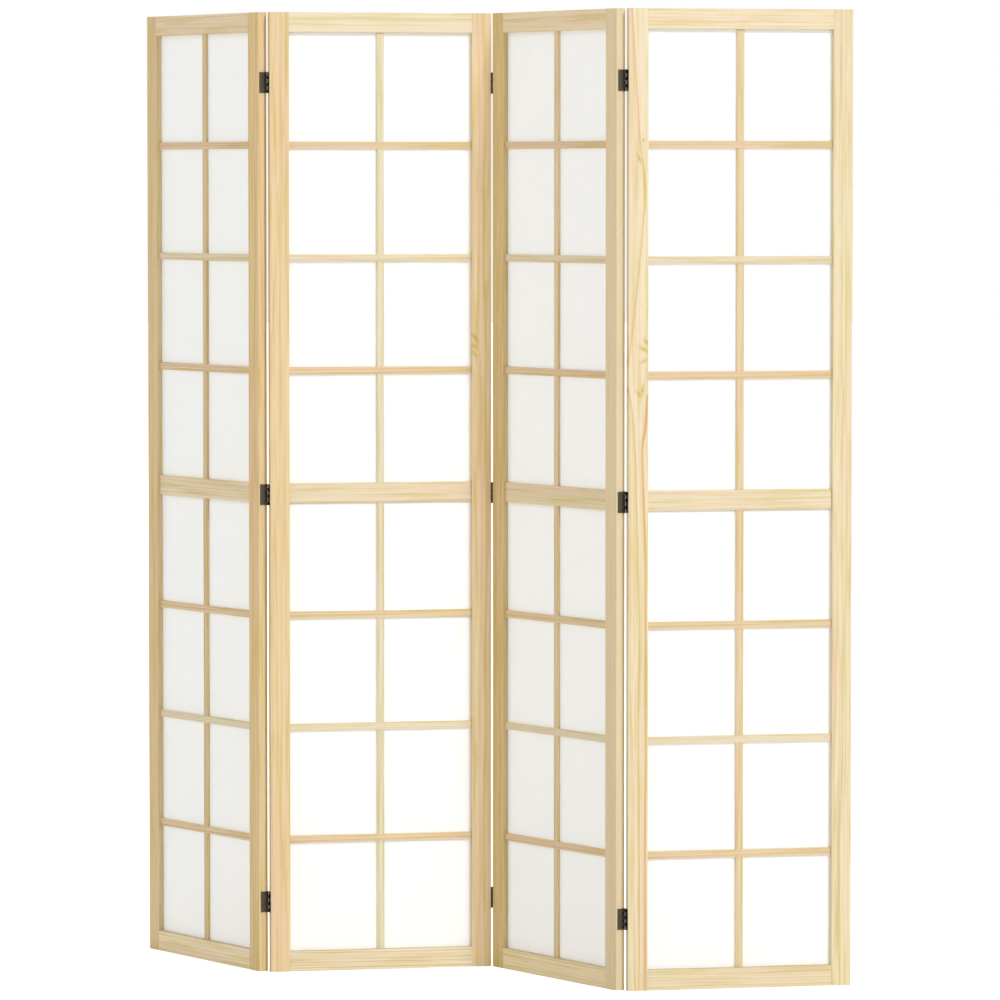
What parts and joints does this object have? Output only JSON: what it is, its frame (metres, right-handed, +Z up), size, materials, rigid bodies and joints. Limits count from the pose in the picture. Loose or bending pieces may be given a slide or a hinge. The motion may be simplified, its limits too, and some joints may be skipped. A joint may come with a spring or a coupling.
{
  "type": "folding screen",
  "caption": "Free-standing folding room divider: hinged pine frames, each with a lattice of slim bars in front of translucent sheets.",
  "frame": {"origin": "middle of the bounding box in plan, on the floor under the panels", "axes": "+X along the screen from panel 1 to panel 4, +Y from the front (the bar side) to the back, +Z up"},
  "size_m": [1.3576, 0.2432, 1.7],
  "materials": {
    "pine": "planed, clear matt lacquer",
    "bar_pine": "planed, clear matt lacquer",
    "sheet_paper": "translucent, matt",
    "bronzed_steel": "bronzed, satin"
  },
  "bodies": {
    "panel_1": {"panel_1_left_stile": "pine", "panel_1_right_stile": "pine", "panel_1_top_rail": "pine", "panel_1_middle_rail": "pine", "panel_1_bottom_rail": "pine", "panel_1_uprights": "bar_pine", "panel_1_cross_bars": "bar_pine", "panel_1_upper_sheet": "sheet_paper", "panel_1_lower_sheet": "sheet_paper", "panel_1_beads": "pine", "panel_1_dowels": "bar_pine", "fold_1_2_left_leaves": "bronzed_steel", "fold_1_2_pins": "bronzed_steel", "fold_1_2_left_screws": "bronzed_steel"},
    "panel_2": {"panel_2_left_stile": "pine", "panel_2_right_stile": "pine", "panel_2_top_rail": "pine", "panel_2_middle_rail": "pine", "panel_2_bottom_rail": "pine", "panel_2_uprights": "bar_pine", "panel_2_cross_bars": "bar_pine", "panel_2_upper_sheet": "sheet_paper", "panel_2_lower_sheet": "sheet_paper", "panel_2_beads": "pine", "panel_2_dowels": "bar_pine", "fold_1_2_right_leaves": "bronzed_steel", "fold_1_2_right_screws": "bronzed_steel", "fold_2_3_left_leaves": "bronzed_steel", "fold_2_3_pins": "bronzed_steel", "fold_2_3_left_screws": "bronzed_steel"},
    "panel_3": {"panel_3_left_stile": "pine", "panel_3_right_stile": "pine", "panel_3_top_rail": "pine", "panel_3_middle_rail": "pine", "panel_3_bottom_rail": "pine", "panel_3_uprights": "bar_pine", "panel_3_cross_bars": "bar_pine", "panel_3_upper_sheet": "sheet_paper", "panel_3_lower_sheet": "sheet_paper", "panel_3_beads": "pine", "panel_3_dowels": "bar_pine", "fold_2_3_right_leaves": "bronzed_steel", "fold_2_3_right_screws": "bronzed_steel", "fold_3_4_left_leaves": "bronzed_steel", "fold_3_4_pins": "bronzed_steel", "fold_3_4_left_screws": "bronzed_steel"},
    "panel_4": {"panel_4_left_stile": "pine", "panel_4_right_stile": "pine", "panel_4_top_rail": "pine", "panel_4_middle_rail": "pine", "panel_4_bottom_rail": "pine", "panel_4_uprights": "bar_pine", "panel_4_cross_bars": "bar_pine", "panel_4_upper_sheet": "sheet_paper", "panel_4_lower_sheet": "sheet_paper", "panel_4_beads": "pine", "panel_4_dowels": "bar_pine", "fold_3_4_right_leaves": "bronzed_steel", "fold_3_4_right_screws": "bronzed_steel"}
  },
  "joints": [
    {"name": "fold_1_2", "type": "hinge", "parent": "panel_2", "child": "panel_1", "pos_m": [-0.34019, -0.10769, 0.85], "axis": [0, 0, -1], "range_deg": [-70, 110]},
    {"name": "fold_2_3", "type": "hinge", "parent": "panel_2", "child": "panel_3", "pos_m": [0, 0.10769, 0.85], "axis": [0, 0, -1], "range_deg": [-70, 110]},
    {"name": "fold_3_4", "type": "hinge", "parent": "panel_3", "child": "panel_4", "pos_m": [0.34019, -0.10769, 0.85], "axis": [0, 0, 1], "range_deg": [-70, 110]}
  ]
}
